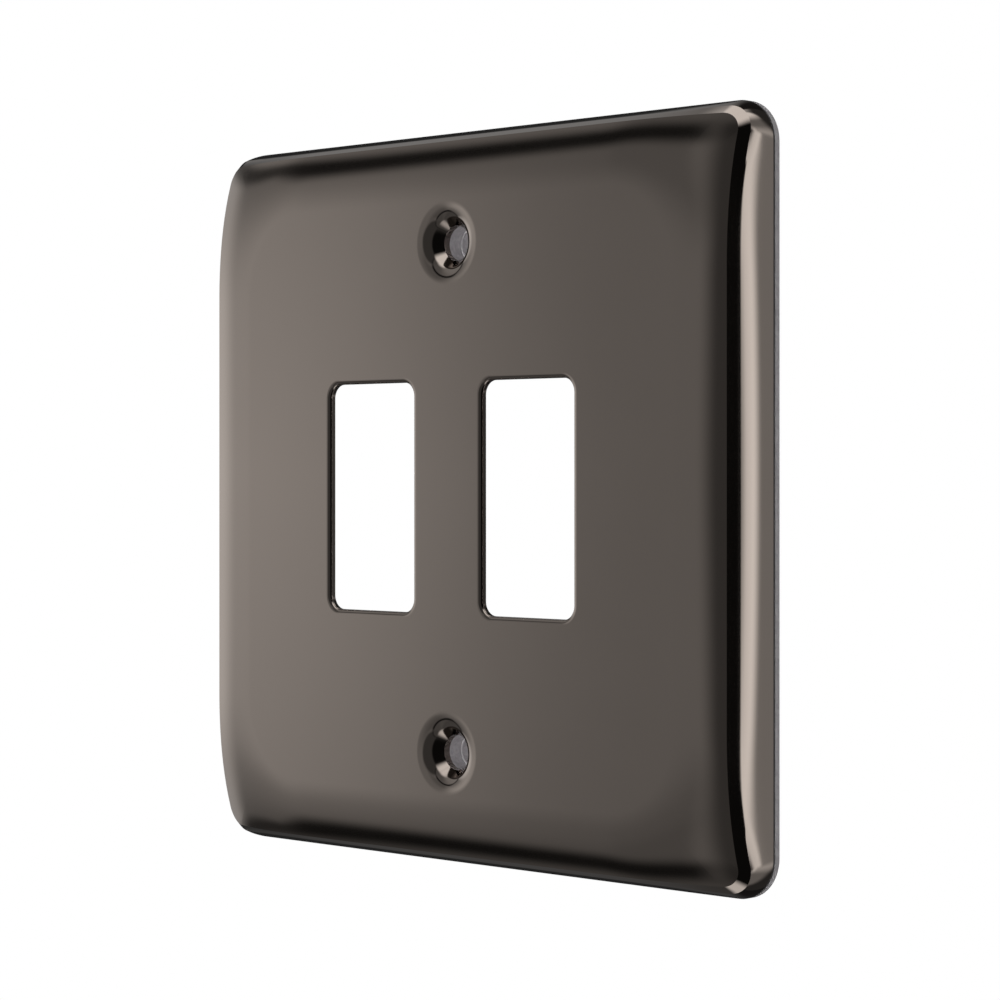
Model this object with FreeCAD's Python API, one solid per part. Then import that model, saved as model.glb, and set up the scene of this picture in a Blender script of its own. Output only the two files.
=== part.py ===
import FreeCAD, Part
import math
import os

# Two module grid switch plate: a pressed metal front plate on a clear insulating backing.
# Millimetres. X is to the right, Z is up, and the face looks towards -Y.
# The back of the flange lies in the plane Y = 0, and the origin is midway between the two screw holes.
# Every solid is built lying on its back, with z as the height off the wall, and is stood up at the end.

# Plate outline and sheet
plate_size = 88.0
corner_radius = 4.8
sheet_thickness = 0.9
face_height = 7.7

# Pillowed face: a flat middle that rolls off towards the edges on a large radius
roll_off_width = 8.8
flat_middle_radius = 9.8
roll_off_radius = 30.0

# Edge section, from the crease round the face down to the rim
crease_inset = 1.8
crease_corner_radius = 2.2
facet_width = 0.65
facet_fall = 1.35
facet_spread = 0.12
wall_bulge = 0.12

# Module openings
opening_width = 14.6
opening_height = 27.5
opening_pitch = 26.0
opening_corner_radius = 1.7
opening_edge_roll = 0.3

# Screw holes, each in a dimple pressed into the face
screw_spacing = 60.3
screw_hole_diameter = 4.1
dimple_depth = 2.4
dimple_land = 0.2
dimple_lip_diameter = 10.0
dimple_lip_roll = 2.3
dimple_seat_width = 1.25
dimple_back_draft = 25.0

# Insulating backing
flange_thickness = 0.9
window_width = 62.0
window_height = 44.0
window_corner_radius = 3.0
locating_clearance = 0.15
locating_rib_height = 1.6
locating_rib_thickness = 1.2
locating_rib_length = 48.0
boss_wall = 1.1
boss_bore_diameter = 3.7
boss_bore_length = 3.2

# Number of stations at which each stretch of the pressed edge takes its section
stations = 5
smallest_edge = 0.001

half_size = plate_size / 2
flat_half = half_size - roll_off_width
flat_corner_centre = flat_half - flat_middle_radius
screw_places = (-screw_spacing / 2, screw_spacing / 2)
dimple_floor = face_height - dimple_depth
dimple_back = dimple_floor - dimple_land
clear_height = 2 * face_height
shares = [step / (stations - 1) for step in range(stations)]
up = FreeCAD.Vector(0, 0, 1)


def v(x, y, z):
    return FreeCAD.Vector(x, y, z)


def stand_up(shape):
    """Turn a shape from lying on its back to standing, with its face towards -Y."""
    placed = shape.copy()
    placed.rotate(v(0, 0, 0), v(1, 0, 0), 90)
    return placed


def rounded_block(width, height, radius, bottom, top):
    """Block with four rounded corners in plan, between two heights off the wall."""
    block = Part.makeBox(width, height, top - bottom, v(-width / 2, -height / 2, bottom))
    upright = [edge for edge in block.Edges if abs(edge.tangentAt(edge.FirstParameter).z) > 0.5]
    return block.makeFillet(radius, upright)


def roll_off(place, offset):
    """Section of the pillowed face, or of the skin at an offset under it, over a place on the crease.

    Gives the end of the flat middle, the corner of the section's two end tangents, and the crease point."""
    across = max(place.x - flat_corner_centre, 0)
    along = math.copysign(max(abs(place.y) - flat_corner_centre, 0), place.y)
    distance = math.hypot(across, along) - flat_middle_radius
    out = v(across, along, 0).normalize()
    radius = roll_off_radius - offset
    slope = distance / math.sqrt(radius**2 - distance**2)
    fall = radius - math.sqrt(radius**2 - distance**2)
    level = up * (face_height - offset)
    return place - out * distance + level, place - out * fall / slope + level, place + level - up * fall


def quarter_turns(shapes):
    """The given shapes at all four quarter turns about the middle of the plate."""
    turned = []
    for angle in (0, 90, 180, 270):
        for shape in shapes:
            copy = shape.copy()
            copy.rotate(v(0, 0, 0), up, angle)
            turned.append(copy)
    return turned


def outline_place(stretch, share, reach, radius):
    """Place at a share of one stretch of a rounded square's outline, and the outward direction there.

    Stretches 0 to 2 run up the right side, and stretch 3 goes round the corner after it."""
    end = reach - radius
    if stretch == 3:
        angle = math.radians(90 * share)
        out = v(math.cos(angle), math.sin(angle), 0)
        return v(end, end, 0) + out * radius, out
    breaks = (-end, -flat_corner_centre, flat_corner_centre, end)
    along = breaks[stretch] + (breaks[stretch + 1] - breaks[stretch]) * share
    return v(reach, along, 0), v(1, 0, 0)


def smooth_curve(points):
    """Curve through the points of one stretch, one at each station."""
    curve = Part.BSplineCurve()
    curve.interpolate(Points=list(points), Parameters=shares)
    return curve


def band(curves):
    """Face across curves that share their stations: straight between two, a parabola over three."""
    rows = [curve.getPoles() for curve in curves]
    degree = len(curves) - 1
    along = curves[0]
    surface = Part.BSplineSurface()
    surface.buildFromPolesMultsKnots(
        rows,
        [degree + 1, degree + 1],
        along.getMultiplicities(),
        [0, 1],
        along.getKnots(),
        False,
        False,
        degree,
        along.Degree,
    )
    return surface.toShape()


def corner_shift(first, second, thickness):
    """Inward and downward shift of the meeting line of two surfaces, one sheet thickness inside them.

    first and second are the angles of the two surfaces below the horizontal, in radians."""
    normals = [(math.sin(angle), math.cos(angle)) for angle in (first, second)]
    shared = 1 + normals[0][0] * normals[1][0] + normals[0][1] * normals[1][1]
    inward = thickness * (normals[0][0] + normals[1][0]) / shared
    down = thickness * (normals[0][1] + normals[1][1]) / shared
    return inward, down


def pressed_skin(offset, bulge):
    """Solid inside one skin of the sheet: offset 0 is the outside, sheet_thickness the inside.

    bulge is how far the wall swells out between its two ends."""
    crease_distance = half_size - crease_inset - flat_half
    face_angle = math.asin(crease_distance / roll_off_radius)
    facet_angle = math.atan2(facet_fall, facet_width)
    crease_height = roll_off(v(half_size - crease_inset, 0, 0), 0)[2].z
    lower_inset = crease_inset - facet_width
    wall_angle = math.atan2(crease_height - facet_fall - flange_thickness, lower_inset)
    upper_in, upper_down = corner_shift(face_angle, facet_angle, offset)
    lower_in, lower_down = corner_shift(facet_angle, wall_angle, offset)
    reach = half_size - crease_inset - upper_in
    radius = crease_corner_radius - upper_in
    width = facet_width + upper_in - lower_in
    fall = facet_fall + lower_down - upper_down
    side_level = roll_off(v(reach, 0, 0), offset)[2].z

    bands = []
    flat_edges = []
    foot_edges = []
    for stretch in range(4):
        rows = []
        for share in shares:
            place, out = outline_place(stretch, share, reach, radius)
            flat, tangent, crease = roll_off(place, offset)
            drop = side_level - crease.z
            low = crease + out * (width + facet_spread * drop) - up * (fall - facet_spread * drop)
            foot = outline_place(stretch, share, half_size - offset, corner_radius - offset)[0]
            foot.z = flange_thickness
            bow = (low + foot) / 2 + out * 2 * bulge
            rows.append((flat, tangent, crease, low, bow, foot))
        flat, tangent, crease, low, bow, foot = [smooth_curve(points) for points in zip(*rows)]
        bands.extend([band([flat, tangent, crease]), band([crease, low]), band([low, bow, foot])])
        flat_edges.append(flat.toShape())
        foot_edges.append(foot.toShape())
    lids = [Part.Face(Part.Wire(Part.__sortEdges__(quarter_turns(edges)))) for edges in (flat_edges, foot_edges)]
    shell = Part.makeShell(quarter_turns(bands) + lids)
    shell.sewShape()
    solid = Part.Solid(shell)
    if solid.Volume < 0:
        solid.reverse()
    return solid


def dimple_profile(points, lip):
    """Half section in the plane y = 0 from straight edges and one lip arc."""
    edges = [lip]
    for first, second in zip(points, points[1:]):
        edges.append(Part.makeLine(first, second))
    return Part.Face(Part.Wire(Part.__sortEdges__(edges)))


def dimple_void():
    """What the dimple takes out of the front: a rolled lip, a conical seat and the screw hole."""
    hole = screw_hole_diameter / 2
    lip = dimple_lip_diameter / 2
    roll_centre_height = face_height - dimple_lip_roll
    across = lip - hole
    rise = roll_centre_height - dimple_floor
    distance = math.hypot(across, rise)
    touch_length = math.sqrt(distance**2 - dimple_lip_roll**2)
    touch_angle = math.atan2(rise, across) + math.asin(dimple_lip_roll / distance)
    touch = v(hole + touch_length * math.cos(touch_angle), 0, dimple_floor + touch_length * math.sin(touch_angle))
    lip_start = v(lip, 0, face_height)
    middle_angle = touch_angle / 2
    lip_middle = v(
        lip - dimple_lip_roll * math.sin(middle_angle), 0, roll_centre_height + dimple_lip_roll * math.cos(middle_angle)
    )
    lip_arc = Part.Arc(touch, lip_middle, lip_start).toShape()
    bottom = flange_thickness
    top = face_height + dimple_depth
    points = [
        touch,
        v(hole, 0, dimple_floor),
        v(hole, 0, bottom),
        v(0, 0, bottom),
        v(0, 0, top),
        v(lip, 0, top),
        lip_start,
    ]
    return dimple_profile(points, lip_arc).revolve(v(0, 0, 0), up, 360)


def dimple_boss():
    """What the dimple pushes out behind the sheet: a flat round seat with a drafted side."""
    seat = screw_hole_diameter / 2 + dimple_seat_width
    rise = face_height - sheet_thickness - dimple_back
    top_radius = seat + rise * math.tan(math.radians(dimple_back_draft))
    return Part.makeCone(seat, top_radius, rise, v(0, 0, dimple_back))


def opening_cutter():
    """Prism that pierces one module opening."""
    return rounded_block(opening_width, opening_height, opening_corner_radius, flange_thickness, clear_height)


def front_plate():
    sheet = pressed_skin(0, wall_bulge).cut(pressed_skin(sheet_thickness, 0))
    bosses = []
    voids = []
    for height in screw_places:
        boss = dimple_boss()
        boss.translate(v(0, height, 0))
        bosses.append(boss)
        void = dimple_void()
        void.translate(v(0, height, 0))
        voids.append(void)
    for side in (-0.5, 0.5):
        opening = opening_cutter()
        opening.translate(v(side * opening_pitch, 0, 0))
        voids.append(opening)
    sheet = sheet.multiFuse(bosses).removeSplitter().cut(voids)
    rims = []
    for edge in sheet.Edges:
        box = edge.BoundBox
        level = abs(box.ZMin - face_height) < smallest_edge and abs(box.ZMax - face_height) < smallest_edge
        inside = box.YMax < opening_height / 2 + smallest_edge and box.YMin > -opening_height / 2 - smallest_edge
        if level and inside:
            rims.append(edge)
    return sheet.makeFillet(opening_edge_roll, rims)


def locating_rib():
    """Low straight wall on the flange that centres one side of the plate."""
    top = flange_thickness + locating_rib_height
    rise = locating_rib_height / (face_height - flange_thickness)
    inset = sheet_thickness + locating_clearance + crease_inset * rise
    inner = half_size - inset - locating_rib_thickness
    return Part.makeBox(locating_rib_thickness, locating_rib_length, top, v(inner, -locating_rib_length / 2, 0))


def insulating_backing():
    flange = rounded_block(plate_size, plate_size, corner_radius, 0, flange_thickness)
    pieces = quarter_turns([locating_rib()])
    holes = [rounded_block(window_width, window_height, window_corner_radius, 0, flange_thickness)]
    bore = boss_bore_diameter / 2
    cup = screw_hole_diameter / 2
    for height in screw_places:
        centre = v(0, height, 0)
        pieces.append(Part.makeCylinder(cup + boss_wall, dimple_back, centre))
        holes.append(Part.makeCylinder(bore, dimple_back, centre))
        holes.append(Part.makeCylinder(cup, dimple_back - boss_bore_length, centre + up * boss_bore_length))
    return flange.multiFuse(pieces).removeSplitter().cut(holes)


builders = {"front_plate": front_plate, "insulating_backing": insulating_backing}

os.makedirs("parts", exist_ok=True)
for name, builder in builders.items():
    solid = stand_up(builder())
    solid.exportStep("parts/" + name + ".step")
    print(name, solid.ShapeType, "solids", len(solid.Solids), "valid", solid.isValid(), "volume", round(solid.Volume, 2))
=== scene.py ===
import math

import bmesh
import bpy
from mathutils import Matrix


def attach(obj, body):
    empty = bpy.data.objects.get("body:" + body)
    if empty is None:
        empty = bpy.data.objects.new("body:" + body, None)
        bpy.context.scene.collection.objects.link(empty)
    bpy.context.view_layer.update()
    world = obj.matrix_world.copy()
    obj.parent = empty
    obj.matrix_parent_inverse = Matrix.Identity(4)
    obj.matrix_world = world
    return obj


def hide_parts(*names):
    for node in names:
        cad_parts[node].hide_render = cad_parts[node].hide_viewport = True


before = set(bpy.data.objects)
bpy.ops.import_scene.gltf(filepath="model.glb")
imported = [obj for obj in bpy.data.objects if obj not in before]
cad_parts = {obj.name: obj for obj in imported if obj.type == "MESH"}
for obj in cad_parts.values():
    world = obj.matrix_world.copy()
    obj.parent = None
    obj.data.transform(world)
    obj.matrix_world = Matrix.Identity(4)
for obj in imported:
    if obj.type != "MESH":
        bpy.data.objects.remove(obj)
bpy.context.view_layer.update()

MM = 0.001
DEGREES = 180 / math.pi
QUARTER = math.pi / 2

# Sizes of the pressed front plate, in millimetres
PLATE = {
    "Half Size": 44.0,
    "Corner Radius": 4.8,
    "Sheet Thickness": 0.9,
    "Face Height": 7.7,
    "Roll Off Width": 8.8,
    "Flat Middle Radius": 9.8,
    "Roll Off Radius": 30.0,
    "Crease Inset": 1.8,
    "Crease Radius": 2.2,
    "Facet Width": 0.65,
    "Facet Fall": 1.35,
    "Facet Spread": 0.12,
    "Wall Bulge": 0.12,
    "Rim Height": 0.9,
    "Opening Width": 14.6,
    "Opening Height": 27.5,
    "Opening Pitch": 26.0,
    "Opening Radius": 1.7,
    "Opening Roll": 0.6,
    "Opening Roll Depth": 0.4,
    "Screw Spacing": 60.3,
    "Hole Diameter": 4.1,
    "Dimple Depth": 2.4,
    "Dimple Land": 0.2,
    "Lip Diameter": 9.96,
    "Lip Bend": 3.5,
    "Seat Top": 2.9,
    "Seat Top Depth": 0.76,
    "Seat End": 2.1,
    "Seat End Depth": 1.75,
    "Seat Width": 1.25,
    "Rim Round": 0.2,
}
# Slope of the sheet that each dimple pushes out behind, in degrees off the axis
BACK_DRAFT = 22.0
# How near the wall of an opening the bend of its rolled edge lies, as a share of the roll
ROLL_BEND = 0.15

# Sizes of the clear backing, in millimetres
BACKING = {
    "Half Size": 44.0,
    "Corner Radius": 4.8,
    "Flange Thickness": 0.9,
    "Edge Round": 0.06,
    "Window Width": 62.0,
    "Window Height": 44.0,
    "Window Radius": 3.0,
    "Rib Top": 2.5,
    "Rib Thickness": 1.2,
    "Rib Length": 48.0,
    "Rib Place": 41.93,
    "Boss Radius": 3.15,
    "Boss Top": 5.1,
    "Cup Radius": 2.05,
    "Bore Radius": 1.85,
    "Bore Length": 3.2,
    "Screw Spacing": 60.3,
}

# Faces round each outline, and the share of them in a quarter turn that lies along a side
EDGE_AROUND, EDGE_SIDE_SHARE = 352, 56 / 88
OPENING_AROUND, OPENING_SIDE_SHARE = 64, 4 / 16
HOLE_AROUND = 64

# Faces across the strips that bend
ROLL_OFF_FACES = 40
FACET_FACES = 4
WALL_FACES = 20
RIM_FACES = 10
OPENING_ROLL_FACES = 12
LIP_FACES = 16
SEAT_FACES = 4
BACKING_EDGE_FACES = 3

# Length of the flat grid that a strip starts as: one unit for each quarter turn
GRID_LENGTH = 4.0
# Keeps the start of a quarter turn from falling into the one before
NUDGE = 1e-4
# Width of the level border of a flat face, and the distance at which points are welded
FLAT_BORDER = 0.02
WELD = 0.001


# Nodes written as expressions
class Expr:
    """A socket that adds the node it needs when it is used in an expression."""

    def __init__(self, tree, socket):
        self.tree = tree
        self.socket = socket

    @property
    def is_vector(self):
        return self.socket.type == "VECTOR"

    def _math(self, operation, *values):
        return self.tree.node("ShaderNodeMath", {"operation": operation}, *values)

    def _pair(self, operation, first, second):
        either = any(isinstance(value, Expr) and value.is_vector for value in (first, second))
        if either:
            return self.tree.node("ShaderNodeVectorMath", {"operation": operation}, first, second)
        return self._math(operation, first, second)

    def __add__(self, other):
        return self._pair("ADD", self, other)

    def __radd__(self, other):
        return self._pair("ADD", other, self)

    def __sub__(self, other):
        return self._pair("SUBTRACT", self, other)

    def __rsub__(self, other):
        return self._pair("SUBTRACT", other, self)

    def __mul__(self, other):
        if self.is_vector and not (isinstance(other, Expr) and other.is_vector):
            return self.tree.node("ShaderNodeVectorMath", {"operation": "SCALE"}, self, Scale=other)
        return self._pair("MULTIPLY", self, other)

    def __rmul__(self, other):
        return self * other

    def __truediv__(self, other):
        return self._pair("DIVIDE", self, other)

    def __rtruediv__(self, other):
        return self._pair("DIVIDE", other, self)

    def __neg__(self):
        return self * -1.0

    def maximum(self, other):
        return self._math("MAXIMUM", self, other)

    def minimum(self, other):
        return self._math("MINIMUM", self, other)

    def clamp(self):
        return self.maximum(0.0).minimum(1.0)

    def floor(self):
        return self._math("FLOOR", self)

    def absolute(self):
        return self._math("ABSOLUTE", self)

    def sign(self):
        return self._math("SIGN", self)

    def sqrt(self):
        return self._math("SQRT", self)

    def sine(self):
        return self._math("SINE", self)

    def cosine(self):
        return self._math("COSINE", self)

    def arctan2(self, other):
        return self._math("ARCTAN2", self, other)

    def arcsine(self):
        return self._math("ARCSINE", self)

    def smooth(self, start, end):
        """0 below start and 1 above end, with a soft step between."""
        settings = {"interpolation_type": "SMOOTHSTEP"}
        return self.tree.node("ShaderNodeMapRange", settings, self, start, end)

    def split(self):
        """The three numbers of a vector."""
        made = self.tree.add("ShaderNodeSeparateXYZ", {}, self)
        return [Expr(self.tree, output) for output in made.outputs]


def lerp(first, second, share):
    return first + (second - first) * share


def bezier(first, middle, last, share):
    return lerp(lerp(first, middle, share), lerp(middle, last, share), share)


def past_straight(first, second, straight):
    """How far two numbers go past the straight middle of a square, each one and as one distance."""
    across = (first.absolute() - straight).maximum(0.0)
    along = (second.absolute() - straight).maximum(0.0)
    return across, along, (across * across + along * along).sqrt()


class Tree:
    """A node tree with one method that makes any node."""

    def __init__(self, tree):
        self.tree = tree

    def add(self, kind, settings, *values, **named):
        made = self.tree.nodes.new(kind)
        for key, setting in settings.items():
            setattr(made, key, setting)
        sockets = [socket for socket in made.inputs if socket.enabled]
        targets = list(zip(sockets, values))
        for key, value in named.items():
            title = key.replace("_", " ")
            targets.append((next(socket for socket in sockets if socket.name == title), value))
        for socket, value in targets:
            if isinstance(value, Expr):
                self.tree.links.new(value.socket, socket)
            elif value is not None:
                socket.default_value = value
        return made

    def node(self, kind, settings, *values, out=None, **named):
        made = self.add(kind, settings, *values, **named)
        outputs = [socket for socket in made.outputs if socket.enabled]
        if out is None:
            return Expr(self, outputs[0])
        return Expr(self, next(socket for socket in outputs if socket.name == out))

    def vector(self, x, y, z):
        return self.node("ShaderNodeCombineXYZ", {}, x, y, z)


# Geometry of thin parts, worked out lying on the back: z is the height off the wall, in millimetres
class StripTree(Tree):
    """A Geometry Nodes tree that lays strips of faces along rounded outlines.

    Every strip starts as a flat grid, 4 long and 1 wide. turn, 0 to 4, and share, 0 to 1, are a point's
    place on that grid, and a section is a field that gives its place on the part."""

    def __init__(self, name, sizes):
        group = bpy.data.node_groups.new(name, "GeometryNodeTree")
        super().__init__(group)
        group.interface.new_socket("Geometry", in_out="OUTPUT", socket_type="NodeSocketGeometry")
        for title, value in sizes.items():
            socket = group.interface.new_socket(title, in_out="INPUT", socket_type="NodeSocketFloat")
            socket.default_value = value
        entry = group.nodes.new("NodeGroupInput")
        self.size = {title: Expr(self, entry.outputs[title]) for title in sizes}
        x, y, _ = self.node("GeometryNodeInputPosition", {}).split()
        self.turn = x + GRID_LENGTH / 2
        self.share = y + 0.5
        self.up = self.vector(0.0, 0.0, 1.0)
        whole_turn = self.turn * QUARTER
        self.spoke = self.vector(whole_turn.cosine(), whole_turn.sine(), 0.0)

    def outline(self, half_width, half_height, radius, side_share):
        """Place and outward direction round a rounded rectangle.

        The first share of each quarter turn runs along a side, and the rest goes round the corner."""
        quarter = (self.turn + NUDGE).floor().minimum(GRID_LENGTH - 1.0)
        within = self.turn - quarter
        along = (within * (1 / side_share)).clamp()
        round_corner = ((within - side_share) * (1 / (1 - side_share))).clamp()
        angle = (quarter + round_corner) * QUARTER
        out = self.vector(angle.cosine(), angle.sine(), 0.0)
        corners = []
        for half_quarters in (-0.5, 0.5):
            diagonal = (quarter + half_quarters) * QUARTER
            x = diagonal.cosine().sign() * (half_width - radius)
            y = diagonal.sine().sign() * (half_height - radius)
            corners.append(self.vector(x, y, 0.0))
        return lerp(*corners, along) + out * radius, out

    def cone(self, first_radius, first_height, last_radius, last_height):
        """Section of a cone round the middle, or of a flat ring or a cylinder."""
        radius = lerp(first_radius, last_radius, self.share)
        height = lerp(first_height, last_height, self.share)
        return self.spoke * radius + self.up * height

    def strip(self, around, across, section):
        grid = self.node("GeometryNodeMeshGrid", {}, GRID_LENGTH, 1.0, around + 1, across + 1)
        return self.node("GeometryNodeSetPosition", {}, grid, None, section)

    def ring(self, around, section, share=0.0):
        """The closed curve that a section makes at one share."""
        line = self.node(
            "GeometryNodeMeshLine",
            {"mode": "OFFSET", "count_mode": "TOTAL"},
            Count=around + 1,
            Start_Location=(-GRID_LENGTH / 2, share - 0.5, 0.0),
            Offset=(GRID_LENGTH / around, 0.0, 0.0),
        )
        placed = self.node("GeometryNodeSetPosition", {}, line, None, section)
        closed = self.node("GeometryNodeMergeByDistance", {}, placed, None, Distance=WELD)
        return self.node("GeometryNodeMeshToCurve", {}, closed)

    def join(self, geometries):
        made = self.tree.nodes.new("GeometryNodeJoinGeometry")
        for geometry in geometries:
            self.tree.links.new(geometry.socket, made.inputs[0])
        return Expr(self, made.outputs[0])

    def move(self, geometry, x, y, z):
        return self.node("GeometryNodeTransform", {}, geometry, Translation=self.vector(x, y, z))

    def fill(self, height, rings):
        """Flat face between closed curves, at a height."""
        return self.move(self.node("GeometryNodeFillCurve", {}, self.join(rings)), 0.0, 0.0, height)

    def finish(self, geometries, material):
        """Weld the strips, stand the part up in metres and give it its finish."""
        joined = self.join(geometries)
        welded = self.node("GeometryNodeMergeByDistance", {}, joined, None, Distance=WELD)
        upright = (QUARTER, 0.0, 0.0)
        placed = self.node("GeometryNodeTransform", {}, welded, Rotation=upright, Scale=(MM, MM, MM))
        real = self.node("GeometryNodeRealizeInstances", {}, placed)
        smooth = self.node("GeometryNodeSetShadeSmooth", {}, real)
        painted = self.node("GeometryNodeSetMaterial", {}, smooth, None, material)
        leave = self.tree.nodes.new("NodeGroupOutput")
        self.tree.links.new(painted.socket, leave.inputs[0])


def corner_shift(first, second, thickness):
    """Inward and downward shift of the line where two surfaces meet, one thickness inside them."""
    shared = 1 + first.sine() * second.sine() + first.cosine() * second.cosine()
    inward = thickness * (first.sine() + second.sine()) / shared
    downward = thickness * (first.cosine() + second.cosine()) / shared
    return inward, downward


def plate_tree(material):
    """The pressed plate: a flat middle that rolls off to a crease, then a facet and a bulged wall."""
    tree = StripTree("Pressed Plate", PLATE)
    size, share, up = tree.size, tree.share, tree.up
    half = size["Half Size"]
    thickness = size["Sheet Thickness"]
    face = size["Face Height"]
    back = face - thickness
    rim = size["Rim Height"]
    rim_round = size["Rim Round"]
    flat_half = half - size["Roll Off Width"]
    flat_centre = flat_half - size["Flat Middle Radius"]
    geometries = []

    def fall(distance, radius):
        return radius - (radius * radius - distance * distance).sqrt()

    crease_distance = half - size["Crease Inset"] - flat_half
    crease_height = face - fall(crease_distance, size["Roll Off Radius"])
    lower_inset = size["Crease Inset"] - size["Facet Width"]
    face_angle = (crease_distance / size["Roll Off Radius"]).arcsine()
    facet_angle = size["Facet Fall"].arctan2(size["Facet Width"])
    wall_angle = (crease_height - size["Facet Fall"] - rim).arctan2(lower_inset)

    def skin(offset, foot_lift, bulge):
        """Strips of one skin of the sheet, an offset inside the outer one.

        Gives the border of the flat middle, the roll-off, the foot of the wall and its direction."""
        upper_in, upper_down = corner_shift(face_angle, facet_angle, offset)
        lower_in, lower_down = corner_shift(facet_angle, wall_angle, offset)
        reach = half - size["Crease Inset"] - upper_in
        roll_radius = size["Roll Off Radius"] - offset
        level = face - offset
        place, out = tree.outline(reach, reach, size["Crease Radius"] - upper_in, EDGE_SIDE_SHARE)
        x, y, _ = place.split()
        across, along, length = past_straight(x, y, flat_centre)
        spoke = tree.vector(across * x.sign(), along * y.sign(), 0.0) * (1.0 / length)
        distance = length - size["Flat Middle Radius"]
        flat = place - spoke * distance
        border = flat - spoke * ((1.0 - share) * FLAT_BORDER) + up * level
        rolled = lerp(flat, place, share) + up * (level - fall(distance * share, roll_radius))
        crease_level = level - fall(distance, roll_radius)
        crease = place + up * crease_level
        lowering = level - fall(reach - flat_half, roll_radius) - crease_level
        spread = lowering * size["Facet Spread"]
        width = size["Facet Width"] + upper_in - lower_in + spread
        low = crease + out * width - up * (size["Facet Fall"] + lower_down - upper_down - spread)
        foot_half = half - offset
        foot_radius = size["Corner Radius"] - offset
        foot_place, _ = tree.outline(foot_half, foot_half, foot_radius, EDGE_SIDE_SHARE)
        foot = foot_place + up * rim
        end = foot + up * foot_lift
        bow = (low + end) * 0.5 + out * (2.0 * bulge)
        geometries.extend([
            tree.strip(EDGE_AROUND, ROLL_OFF_FACES, rolled),
            tree.strip(EDGE_AROUND, FACET_FACES, lerp(crease, low, share)),
            tree.strip(EDGE_AROUND, WALL_FACES, bezier(low, bow, end, share)),
        ])
        return border, rolled, foot, out

    outer_border, _, outer_foot, out = skin(0.0, rim_round, size["Wall Bulge"])
    _, inner_rolled, inner_foot, _ = skin(thickness, 0.0, 0.0)
    rim_inside = outer_foot - out * rim_round
    rim_roll = bezier(outer_foot + up * rim_round, outer_foot, rim_inside, share)
    geometries.extend([
        tree.strip(EDGE_AROUND, 1, outer_border),
        tree.strip(EDGE_AROUND, RIM_FACES, rim_roll),
        tree.strip(EDGE_AROUND, 1, lerp(rim_inside, inner_foot, share)),
    ])

    # Module openings, each with a softly rolled front edge
    roll = size["Opening Roll"]
    roll_end = face - size["Opening Roll Depth"]
    opening_halves = (size["Opening Width"] * 0.5, size["Opening Height"] * 0.5)
    place, out = tree.outline(*opening_halves, size["Opening Radius"], OPENING_SIDE_SHARE)
    border = place + out * (roll + (1.0 - share) * FLAT_BORDER) + up * face
    roll_start = place + out * roll + up * face
    roll_bend = place + out * (roll * ROLL_BEND) + up * face
    cut = place + up * lerp(roll_end, back, share)
    opening = tree.join([
        tree.strip(OPENING_AROUND, 1, border),
        tree.strip(
            OPENING_AROUND,
            OPENING_ROLL_FACES,
            bezier(roll_start, roll_bend, place + up * roll_end, share),
        ),
        tree.strip(OPENING_AROUND, 2, cut),
    ])
    opening_front = tree.ring(OPENING_AROUND, border)
    opening_back = tree.ring(OPENING_AROUND, cut)

    # Screw dimples: a soft lip, a conical seat, a short neck, the hole, and the sheet pushed out behind
    hole = size["Hole Diameter"] * 0.5
    lip = size["Lip Diameter"] * 0.5
    floor = face - size["Dimple Depth"]
    under = floor - size["Dimple Land"]
    seat_top, seat_end = size["Seat Top"], size["Seat End"]
    top_level = face - size["Seat Top Depth"]
    end_level = face - size["Seat End Depth"]
    seat_back = hole + size["Seat Width"]
    boss = seat_back + (back - under) * math.tan(math.radians(BACK_DRAFT))
    lip_reach = bezier(lip, size["Lip Bend"], seat_top, share)
    lip_section = tree.spoke * lip_reach + up * bezier(face, face, top_level, share)
    lip_border = tree.cone(lip + FLAT_BORDER, face, lip, face)
    draft = tree.cone(boss, back, seat_back, under)
    dimple = tree.join([
        tree.strip(HOLE_AROUND, 1, lip_border),
        tree.strip(HOLE_AROUND, LIP_FACES, lip_section),
        tree.strip(HOLE_AROUND, SEAT_FACES, tree.cone(seat_top, top_level, seat_end, end_level)),
        tree.strip(HOLE_AROUND, 2, tree.cone(seat_end, end_level, hole, floor)),
        tree.strip(HOLE_AROUND, 1, tree.cone(hole, floor, hole, under)),
        tree.strip(HOLE_AROUND, 2, tree.cone(hole, under, seat_back, under)),
        tree.strip(HOLE_AROUND, 2, draft),
    ])
    dimple_front = tree.ring(HOLE_AROUND, lip_border)
    dimple_back = tree.ring(HOLE_AROUND, draft)

    fronts = [tree.ring(EDGE_AROUND, outer_border)]
    backs = [tree.ring(EDGE_AROUND, inner_rolled)]
    for side in (-0.5, 0.5):
        for x, y, form, front_ring, back_ring in (
            (size["Opening Pitch"] * side, 0.0, opening, opening_front, opening_back),
            (0.0, size["Screw Spacing"] * side, dimple, dimple_front, dimple_back),
        ):
            geometries.append(tree.move(form, x, y, 0.0))
            fronts.append(tree.move(front_ring, x, y, 0.0))
            backs.append(tree.move(back_ring, x, y, 0.0))
    geometries.append(tree.fill(face, fronts))
    geometries.append(tree.fill(back, backs))
    tree.finish(geometries, material)
    return tree


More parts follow.
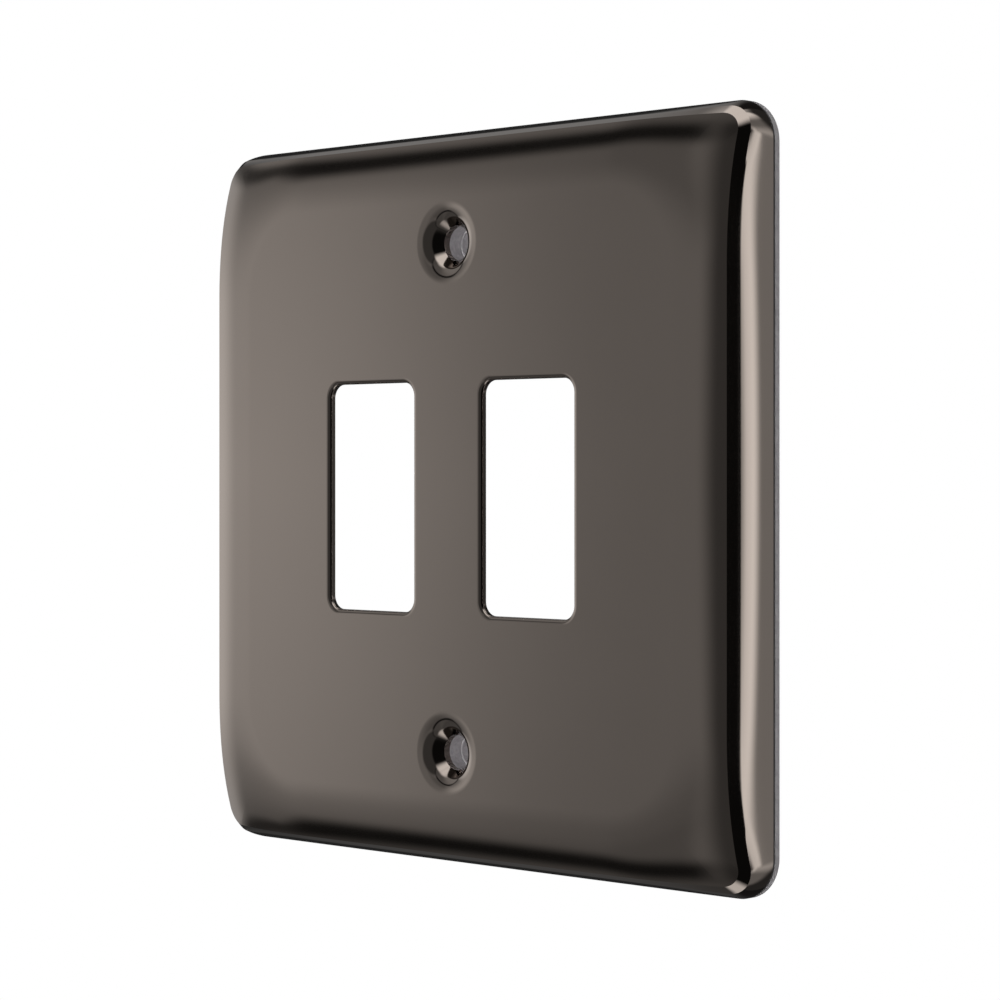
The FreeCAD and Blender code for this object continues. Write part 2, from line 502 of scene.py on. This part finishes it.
def backing_tree(material):
    """The clear backing: a flange with a window, four locating ribs and a boss for each screw hole."""
    tree = StripTree("Insulating Backing", BACKING)
    size, share, up = tree.size, tree.share, tree.up
    flange = size["Flange Thickness"]
    edge = size["Edge Round"]
    geometries = []

    def plain_edge(around, place, inward):
        """Strips of a flange edge with both corners rounded, and its rings at the front and the back."""
        side_top = place + up * (flange - edge)
        front = bezier(side_top, place + up * flange, place + inward * edge + up * flange, share)
        rear = bezier(place + inward * edge, place, place + up * edge, share)
        side = place + up * lerp(edge, flange - edge, share)
        geometries.extend([
            tree.strip(around, BACKING_EDGE_FACES, front),
            tree.strip(around, 2, side),
            tree.strip(around, BACKING_EDGE_FACES, rear),
        ])
        return tree.ring(around, front, 1.0), tree.ring(around, rear, 0.0)

    half = size["Half Size"]
    place, out = tree.outline(half, half, size["Corner Radius"], EDGE_SIDE_SHARE)
    outer_front, outer_rear = plain_edge(EDGE_AROUND, place, -out)
    window_halves = (size["Window Width"] * 0.5, size["Window Height"] * 0.5)
    place, out = tree.outline(*window_halves, size["Window Radius"], OPENING_SIDE_SHARE)
    window_front, window_rear = plain_edge(OPENING_AROUND, place, out)
    fronts = [outer_front, window_front]
    rears = [outer_rear, window_rear]

    # Bosses that carry the dimples of the plate, with a wider cup above each screw bore
    boss, cup, bore = size["Boss Radius"], size["Cup Radius"], size["Bore Radius"]
    top, ledge = size["Boss Top"], size["Bore Length"]
    outside = tree.cone(boss, flange, boss, top - edge)
    inside = tree.cone(bore, ledge, bore, 0.0)
    boss_shell = tree.join([
        tree.strip(HOLE_AROUND, 2, outside),
        tree.strip(HOLE_AROUND, 1, tree.cone(boss, top - edge, boss - edge, top)),
        tree.strip(HOLE_AROUND, 1, tree.cone(boss - edge, top, cup, top)),
        tree.strip(HOLE_AROUND, 2, tree.cone(cup, top, cup, ledge)),
        tree.strip(HOLE_AROUND, 1, tree.cone(cup, ledge, bore, ledge)),
        tree.strip(HOLE_AROUND, 2, inside),
    ])
    boss_ring = tree.ring(HOLE_AROUND, outside)
    bore_ring = tree.ring(HOLE_AROUND, inside, 1.0)
    for side in (-0.5, 0.5):
        shift = size["Screw Spacing"] * side
        geometries.append(tree.move(boss_shell, 0.0, shift, 0.0))
        fronts.append(tree.move(boss_ring, 0.0, shift, 0.0))
        rears.append(tree.move(bore_ring, 0.0, shift, 0.0))

    # Locating ribs, one along each side
    rib_top = size["Rib Top"]
    rib_halves = (size["Rib Thickness"] * 0.5, size["Rib Length"] * 0.5)
    for upright, halves in ((True, rib_halves), (False, rib_halves[::-1])):
        place, _ = tree.outline(*halves, edge * 2.0, OPENING_SIDE_SHARE)
        side = place + up * lerp(flange, rib_top, share)
        ring = tree.ring(OPENING_AROUND, side)
        rib = tree.join([tree.strip(OPENING_AROUND, 2, side), tree.fill(rib_top, [ring])])
        for sign in (-1.0, 1.0):
            shift = size["Rib Place"] * sign
            shifts = (shift, 0.0, 0.0) if upright else (0.0, shift, 0.0)
            geometries.append(tree.move(rib, *shifts))
            fronts.append(tree.move(ring, *shifts))
    geometries.append(tree.fill(flange, fronts))
    geometries.append(tree.fill(0.0, rears))
    tree.finish(geometries, material)
    return tree


def grown(name, tree, sizes, sharp_degrees):
    """A plain mesh piece made by a tree: closed, pointing outwards, with its creases sharp."""
    piece = bpy.data.objects.new(name, bpy.data.meshes.new(name))
    bpy.context.scene.collection.objects.link(piece)
    maker = piece.modifiers.new("Make", "NODES")
    maker.node_group = tree.tree
    for socket in tree.tree.interface.items_tree:
        if socket.item_type == "SOCKET" and socket.in_out == "INPUT":
            maker[socket.identifier] = sizes[socket.name]
    evaluated = piece.evaluated_get(bpy.context.evaluated_depsgraph_get())
    mesh = bpy.data.meshes.new_from_object(evaluated)
    piece.modifiers.remove(maker)
    piece.data = mesh
    mesh.name = name
    work = bmesh.new()
    work.from_mesh(mesh)
    bmesh.ops.recalc_face_normals(work, faces=work.faces)
    work.to_mesh(mesh)
    work.free()
    mesh.set_sharp_from_angle(angle=math.radians(sharp_degrees))
    return piece


# Finishes
WHITE = (1.0, 1.0, 1.0, 1.0)
NICKEL_DARK, NICKEL_LIGHT = (0.300, 0.259, 0.230, 1.0), (0.315, 0.273, 0.243, 1.0)
PLASTIC_DARK, PLASTIC_LIGHT = (0.78, 0.76, 0.78, 1.0), (0.98, 0.95, 0.97, 1.0)
FLOOR_DARK, FLOOR_LIGHT = (0.80, 0.80, 0.80, 1.0), (0.84, 0.84, 0.84, 1.0)

# Painted shade on the backing's edge, in place of the shadow under the metal rim: where it fades in
# and out by height off the wall, and where it starts by distance from the straight middle, in
# millimetres
PAINTED_SHADE_START, PAINTED_SHADE_END, PAINTED_SHADE_REACH = (0.76, 0.84), (0.92, 1.0), (4.5, 4.7)
PAINTED_SHADE_COLOUR = (0.02, 0.02, 0.02, 1.0)


def shader_tree(owner):
    """The emptied node tree of a material or a world."""
    owner.use_nodes = True
    owner.node_tree.nodes.clear()
    return Tree(owner.node_tree)


def close_shader(tree, shader, kind="ShaderNodeOutputMaterial"):
    leave = tree.tree.nodes.new(kind)
    tree.tree.links.new(shader.socket, leave.inputs[0])


def noise(tree, place, **settings):
    return tree.node("ShaderNodeTexNoise", {}, place, out="Fac", **settings)


def blend(tree, share, first, second):
    """The first colour where share is 0 and the second where it is 1."""
    return tree.node("ShaderNodeMix", {"data_type": "RGBA"}, share, A=first, B=second, out="Result")


def black_nickel():
    """Polished black nickel plating: a warm dark metal with a faint haze and a slight wave."""
    material = bpy.data.materials.new("Black Nickel")
    tree = shader_tree(material)
    place = tree.node("ShaderNodeTexCoord", {}, out="Object")
    haze = noise(tree, place, Scale=55.0, Detail=4.0, Roughness=0.6)
    grain = noise(tree, place, Scale=2600.0, Detail=2.0, Roughness=0.5)
    wave = noise(tree, place, Scale=70.0, Detail=1.0, Roughness=0.4)
    relief = wave + grain * 0.04
    shader = tree.node(
        "ShaderNodeBsdfPrincipled",
        {},
        Base_Color=blend(tree, haze, NICKEL_DARK, NICKEL_LIGHT),
        Metallic=1.0,
        Roughness=haze * 0.04 + grain * 0.02 + 0.05,
        Normal=tree.node("ShaderNodeBump", {}, Strength=0.05, Distance=0.00002, Height=relief),
    )
    close_shader(tree, shader)
    return material


def clear_plastic():
    """Clear moulded plastic, slightly cloudy, with painted shade on its edge under the metal rim."""
    material = bpy.data.materials.new("Clear Plastic")
    tree = shader_tree(material)
    place = tree.node("ShaderNodeTexCoord", {}, out="Object")
    cloud = noise(tree, place, Scale=1100.0, Detail=5.0, Distortion=1.5)
    body = blend(tree, cloud.smooth(0.3, 0.7), PLASTIC_DARK, PLASTIC_LIGHT)
    x, y, z = (place * (1 / MM)).split()
    off_wall = -y
    _, _, reach = past_straight(x, z, BACKING["Half Size"] - BACKING["Corner Radius"])
    # Painted shade: a near-black band on the flange's edge just under the metal rim, standing in for the
    # shadow there
    painted_shade = off_wall.smooth(*PAINTED_SHADE_START) * (1.0 - off_wall.smooth(*PAINTED_SHADE_END))
    shader = tree.node(
        "ShaderNodeBsdfPrincipled",
        {},
        # The painted shade under the metal rim is blended into the base colour here
        Base_Color=blend(tree, painted_shade * reach.smooth(*PAINTED_SHADE_REACH), body, PAINTED_SHADE_COLOUR),
        Roughness=cloud * 0.15 + 0.12,
        IOR=1.49,
        Transmission_Weight=0.6,
        Normal=tree.node("ShaderNodeBump", {}, Strength=0.5, Distance=0.00008, Height=cloud),
    )
    close_shader(tree, shader)
    return material


front_plate = grown("Front_Plate", plate_tree(black_nickel()), PLATE, sharp_degrees=9.0)
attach(front_plate, "root")
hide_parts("front_plate")

backing = grown("Clear_Backing", backing_tree(clear_plastic()), BACKING, sharp_degrees=30.0)
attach(backing, "root")
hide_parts("insulating_backing")


# Studio: how bright each part of it is to the metal
GLOW = {
    "far card": 0.34,
    "left card": 0.47,
    "front card": 0.305,
    "flag": 0.083,
    "flag end": 0.008,
    "strip light": 1.6,
    "right wall": 0.41,
    "patch": 0.85,
    "dark": 0.02,
    "overhead": 1.7,
    "table": 1.35,
}

# Where its parts begin or end, in degrees: to the right of the front, or up from level
EDGE = {
    "level": (-2.0, 2.0),
    "far card": (-73.0, -60.0),
    "left card": (-50.5, -41.5),
    "front card": (-28.5, -17.5),
    "flag": (-28.0, -18.0),
    "flag end": (36.0, 52.0),
    "rear left": (-112.0, -98.0),
    "rear right": (90.5, 93.5),
    "back corner": (132.0, 152.0),
}
GAP_HEIGHT, GAP_BEND = 20.0, 51.0
STRIP_PLACE = 107.0
OVERHEAD_HEIGHT = 62.0


def studio_world():
    """The studio round the plate, by direction: white to the camera, cards and flags to the metal."""
    world = bpy.data.worlds.new("Studio")
    tree = shader_tree(world)
    x, y, z = tree.node("ShaderNodeTexCoord", {}, out="Generated").split()
    turn = x.arctan2(-y) * DEGREES
    height = z.arcsine() * DEGREES
    around, away = turn.absolute(), height.absolute()
    over = height.smooth(*EDGE["level"])
    under = 1.0 - over
    back_corner = around.smooth(*EDGE["back corner"])

    # Front half: a bright card far left, a wide one beside it, a grey one in front, a dark flag right
    far = (1.0 - (turn + away * away * 0.047).smooth(*EDGE["far card"])) * GLOW["far card"]
    left_fade = (GLOW["left card"] - away * 0.0215).maximum(0.0)
    left_fade = left_fade * lerp(1.0 - away.smooth(7.0, 13.0) * 0.22, 1.0, over)
    left = (1.0 - turn.smooth(*EDGE["left card"])) * left_fade
    front_fade = GLOW["front card"] - away.smooth(3.0, 15.0) * 0.1
    front_fade = front_fade - under * away.smooth(14.0, 20.0) * 0.03
    front = (1.0 - (turn - away * 0.25).smooth(*EDGE["front card"])) * front_fade
    flag = lerp(GLOW["flag"], GLOW["flag end"], turn.smooth(*EDGE["flag end"]))
    level = far + left + front + flag * turn.smooth(*EDGE["flag"])

    # A dark gap above and below the cards, with a dim wall beyond it
    past_bend = turn + GAP_BEND
    gap_height = past_bend.maximum(0.0) * 0.4 + past_bend.minimum(0.0) * 0.03 + under * 2.4
    past = away - (gap_height + GAP_HEIGHT)
    wide = turn.smooth(-62.0, -50.0)
    beyond = lerp(lerp(0.41, 0.20, turn.smooth(-66.0, -34.0)), 0.17, turn.smooth(-22.0, -8.0))
    beyond = beyond * lerp(lerp(0.33, 0.75, turn.smooth(-60.0, -40.0)), 1.0, over)
    level = lerp(level, beyond, past.smooth(0.0, 2.5))
    gap = 1.0 - ((past + wide * 0.7).absolute() / lerp(2.5, 5.3, wide)).smooth(0.15, 1.0)
    gap_depth = lerp(0.76, 0.92, wide) * (1.0 - turn.smooth(-24.0, -12.0) * 0.6)
    level = level * (1.0 - gap * gap_depth)

    # Behind the plate's plane on the left: black, with grey higher up and lower down
    rear = lerp(0.07, 0.28, over) * away.smooth(20.0, 28.0) * turn.smooth(-150.0, -128.0)
    level = lerp(rear + GLOW["dark"], level, turn.smooth(*EDGE["rear left"]))

    # Behind the plate's plane on the right: a strip light before a grey wall, brighter patches off level
    low_away = away.minimum(9.0)
    bent = turn + low_away * low_away * 0.11
    strip = (1.0 - (bent - STRIP_PLACE).absolute().smooth(1.5, 8.2)) * GLOW["strip light"]
    wall = bent.smooth(104.0, 112.0) * GLOW["right wall"] * (1.0 - turn.smooth(126.0, 134.0) * 0.85)
    patch = turn.smooth(93.0, 101.0) * (1.0 - turn.smooth(122.0, 145.0))
    right = lerp(strip + GLOW["dark"] + wall, GLOW["patch"], away.smooth(7.0, 19.0) * patch)
    right = lerp(right, lerp(0.32, 0.05, turn.smooth(118.0, 140.0)), away.smooth(16.0, 34.0))
    level = lerp(level, right, turn.smooth(*EDGE["rear right"]))

    # A large soft light overhead, nearer on the right, and a bright table
    overhead = (turn / DEGREES).cosine() * 4.0 - turn.smooth(0.0, 45.0) * 14.0 + OVERHEAD_HEIGHT
    overhead = overhead + turn.smooth(60.0, 100.0) * 8.0 + back_corner * 20.0
    level = lerp(level, GLOW["overhead"], (height - overhead).smooth(-12.0, 10.0))
    level = lerp(level, GLOW["table"], (-height - back_corner * 8.0).smooth(63.0, 80.0))

    studio = tree.node("ShaderNodeBackground", {}, WHITE, level)
    white = tree.node("ShaderNodeBackground", {}, WHITE, 1.0)
    rays = tree.add("ShaderNodeLightPath", {}).outputs
    seen = Expr(tree, rays["Is Camera Ray"]).maximum(Expr(tree, rays["Is Transmission Ray"]))
    mixed = tree.node("ShaderNodeMixShader", {}, seen, studio, white)
    close_shader(tree, mixed, "ShaderNodeOutputWorld")
    return world


def pale_floor():
    """A plain pale floor well below the plate, white to the camera."""
    material = bpy.data.materials.new("Pale Floor")
    tree = shader_tree(material)
    place = tree.node("ShaderNodeTexCoord", {}, out="Object")
    colour = blend(tree, noise(tree, place, Scale=8.0, Detail=3.0), FLOOR_DARK, FLOOR_LIGHT)
    matt = tree.node("ShaderNodeBsdfPrincipled", {}, Base_Color=colour, Roughness=0.9)
    white = tree.node("ShaderNodeEmission", {}, WHITE, 1.0)
    seen = Expr(tree, tree.add("ShaderNodeLightPath", {}).outputs["Is Camera Ray"])
    close_shader(tree, tree.node("ShaderNodeMixShader", {}, seen, matt, white))
    bpy.ops.mesh.primitive_plane_add(size=6.0, location=(0.0, 0.0, -0.75))
    floor = bpy.context.object
    floor.name = "Floor"
    floor.data.materials.append(material)
    floor.visible_glossy = False


scene = bpy.context.scene
scene.world = studio_world()
pale_floor()
scene.view_settings.view_transform = "Standard"

# Camera: level, 44 degrees to the right of the plate's middle, with the frame moved down a little
camera_data = bpy.data.cameras.new("Camera")
camera = bpy.data.objects.new("Camera", camera_data)
scene.collection.objects.link(camera)
camera.location = (0.24275, -0.24823, 0.00274)
camera.rotation_euler = (QUARTER, 0.0, math.radians(44.2))
camera_data.sensor_width = 36.0
camera_data.lens = 104.26
camera_data.shift_y = -0.0254
scene.camera = camera
